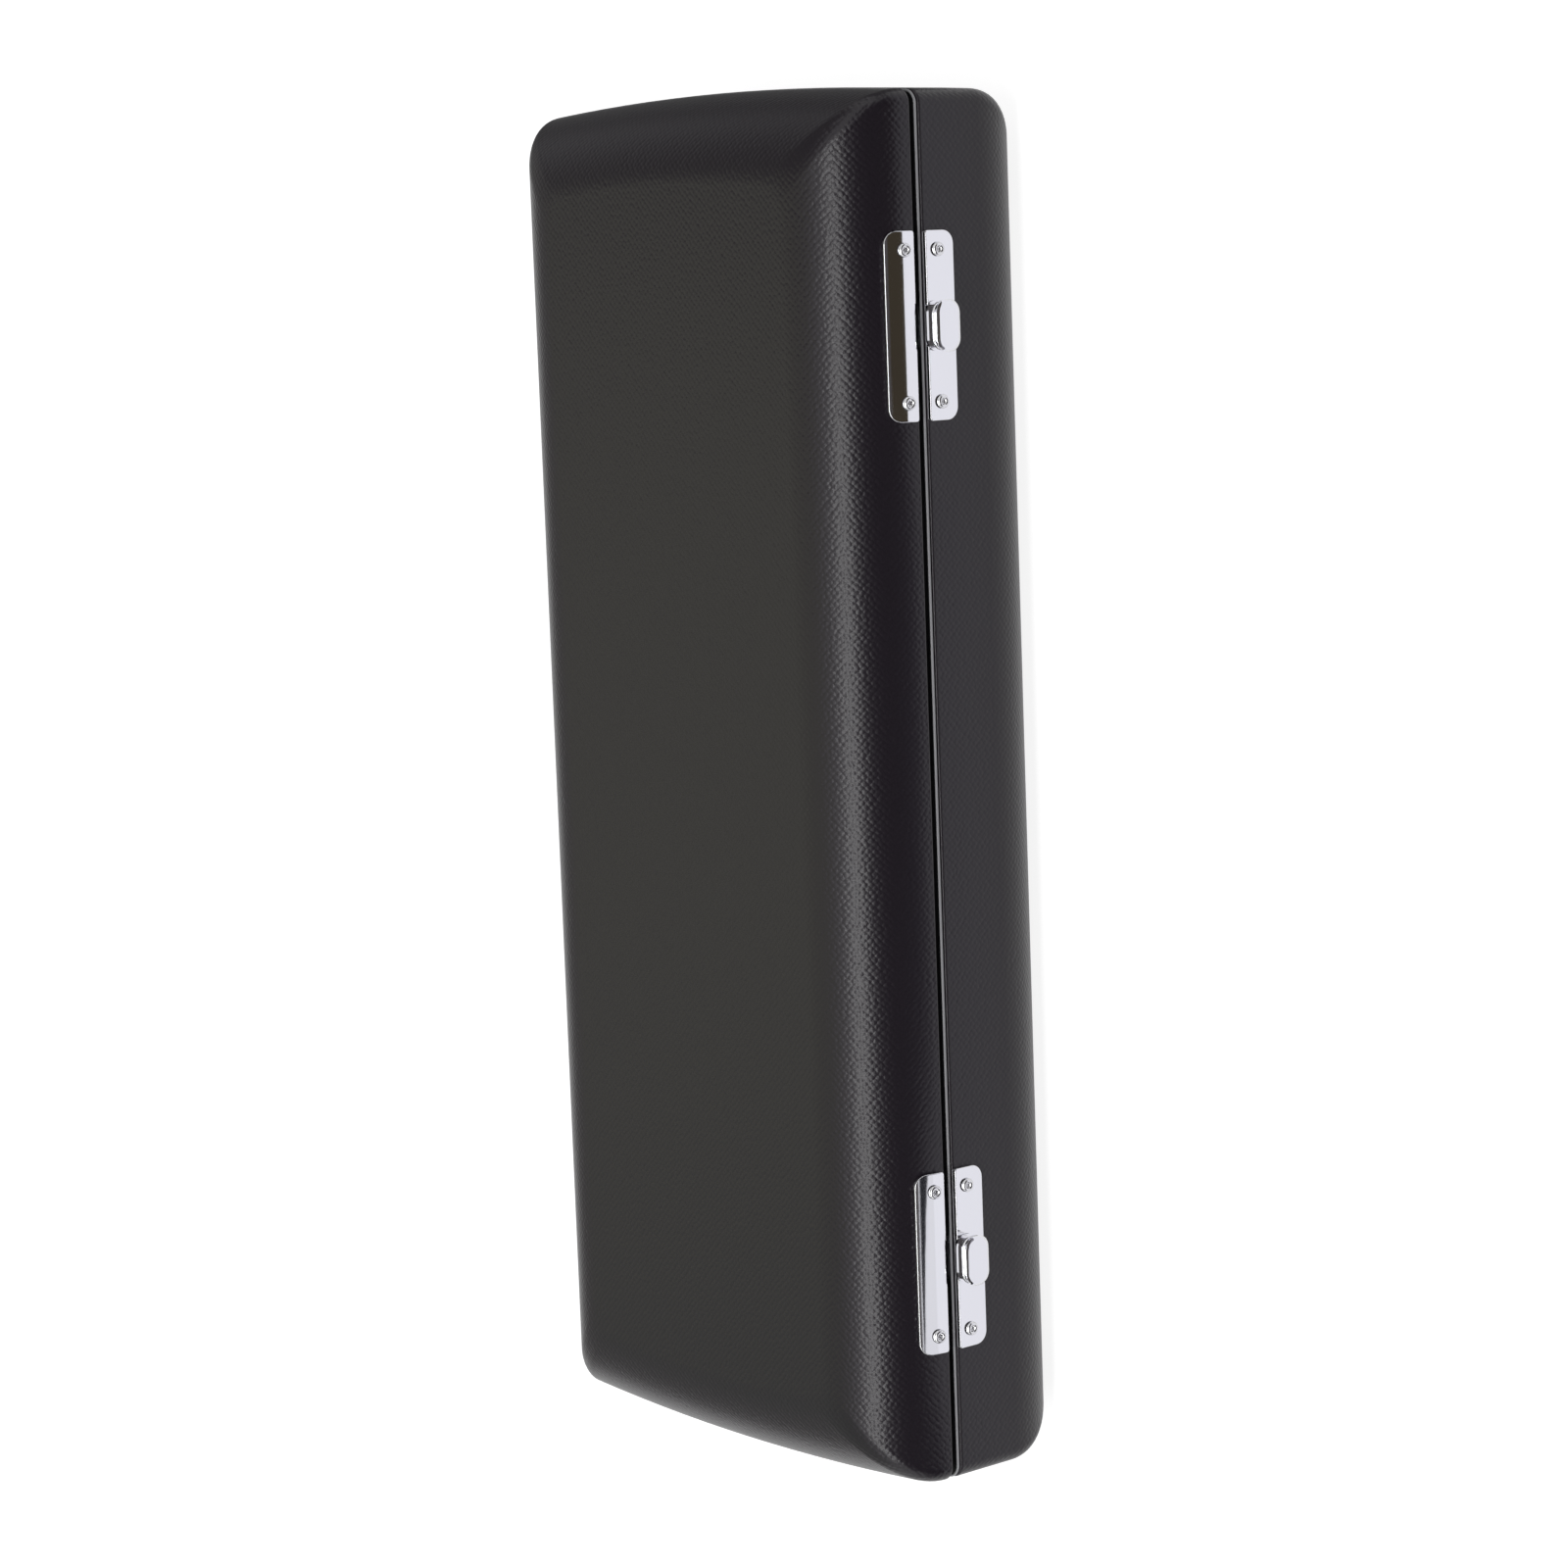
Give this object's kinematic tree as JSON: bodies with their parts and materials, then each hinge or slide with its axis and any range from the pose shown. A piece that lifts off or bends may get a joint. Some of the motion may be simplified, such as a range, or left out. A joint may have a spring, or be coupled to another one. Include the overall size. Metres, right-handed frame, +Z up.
{
  "type": "hinged instrument case",
  "caption": "Slim black leatherette oboe case with rounded edges, a back-hinged lid and two chrome sliding latches.",
  "frame": {"origin": "centre of the underside", "axes": "+X along the length, +Z up from the underside to the lid, -Y towards the latches"},
  "size_m": [0.296, 0.1268, 0.057],
  "materials": {
    "leatherette": "grained",
    "shell_plastic": "matte",
    "rim_plastic": "satin",
    "plush": "plush pile",
    "latch_chrome": "polished",
    "rivet_metal": "polished",
    "spring_steel": "satin"
  },
  "bodies": {
    "base": {"base_cover": "leatherette", "base_shell": "shell_plastic", "base_rim": "rim_plastic", "base_insert": "plush", "latch_left_base_plate": "latch_chrome", "latch_left_housing": "spring_steel", "latch_left_spring": "spring_steel", "latch_left_base_rivet_inner": "rivet_metal", "latch_left_base_rivet_outer": "rivet_metal", "hinge_left_base_leaf": "latch_chrome", "hinge_left_pin": "spring_steel", "hinge_left_base_rivet_inner": "rivet_metal", "hinge_left_base_rivet_outer": "rivet_metal", "latch_right_base_plate": "latch_chrome", "latch_right_housing": "spring_steel", "latch_right_spring": "spring_steel", "latch_right_base_rivet_inner": "rivet_metal", "latch_right_base_rivet_outer": "rivet_metal", "hinge_right_base_leaf": "latch_chrome", "hinge_right_pin": "spring_steel", "hinge_right_base_rivet_inner": "rivet_metal", "hinge_right_base_rivet_outer": "rivet_metal"},
    "lid": {"lid_cover": "leatherette", "lid_shell": "shell_plastic", "lid_rim": "rim_plastic", "lid_lining": "plush", "latch_left_lid_plate": "latch_chrome", "latch_left_lid_rivet_inner": "rivet_metal", "latch_left_lid_rivet_outer": "rivet_metal", "hinge_left_lid_leaf": "latch_chrome", "hinge_left_lid_rivet_inner": "rivet_metal", "hinge_left_lid_rivet_outer": "rivet_metal", "latch_right_lid_plate": "latch_chrome", "latch_right_lid_rivet_inner": "rivet_metal", "latch_right_lid_rivet_outer": "rivet_metal", "hinge_right_lid_leaf": "latch_chrome", "hinge_right_lid_rivet_inner": "rivet_metal", "hinge_right_lid_rivet_outer": "rivet_metal"},
    "latch_left_slide": {"latch_left_bolt": "spring_steel", "latch_left_button": "latch_chrome"},
    "latch_right_slide": {"latch_right_bolt": "spring_steel", "latch_right_button": "latch_chrome"}
  },
  "joints": [
    {"name": "lid_hinge", "type": "hinge", "parent": "base", "child": "lid", "pos_m": [0, 0.06085, 0.037], "axis": [-1, 0, 0], "range_deg": [0, 105]},
    {"name": "latch_left_slide", "type": "slide", "parent": "base", "child": "latch_left_slide", "axis": [-1, 0, 0], "range_m": [0, 0.003], "stiffness_N_per_m": 250, "springref_m": -0.002, "deforming": ["latch_left_spring"]},
    {"name": "latch_right_slide", "type": "slide", "parent": "base", "child": "latch_right_slide", "axis": [1, 0, 0], "range_m": [0, 0.003], "stiffness_N_per_m": 250, "springref_m": -0.002, "deforming": ["latch_right_spring"]}
  ]
}
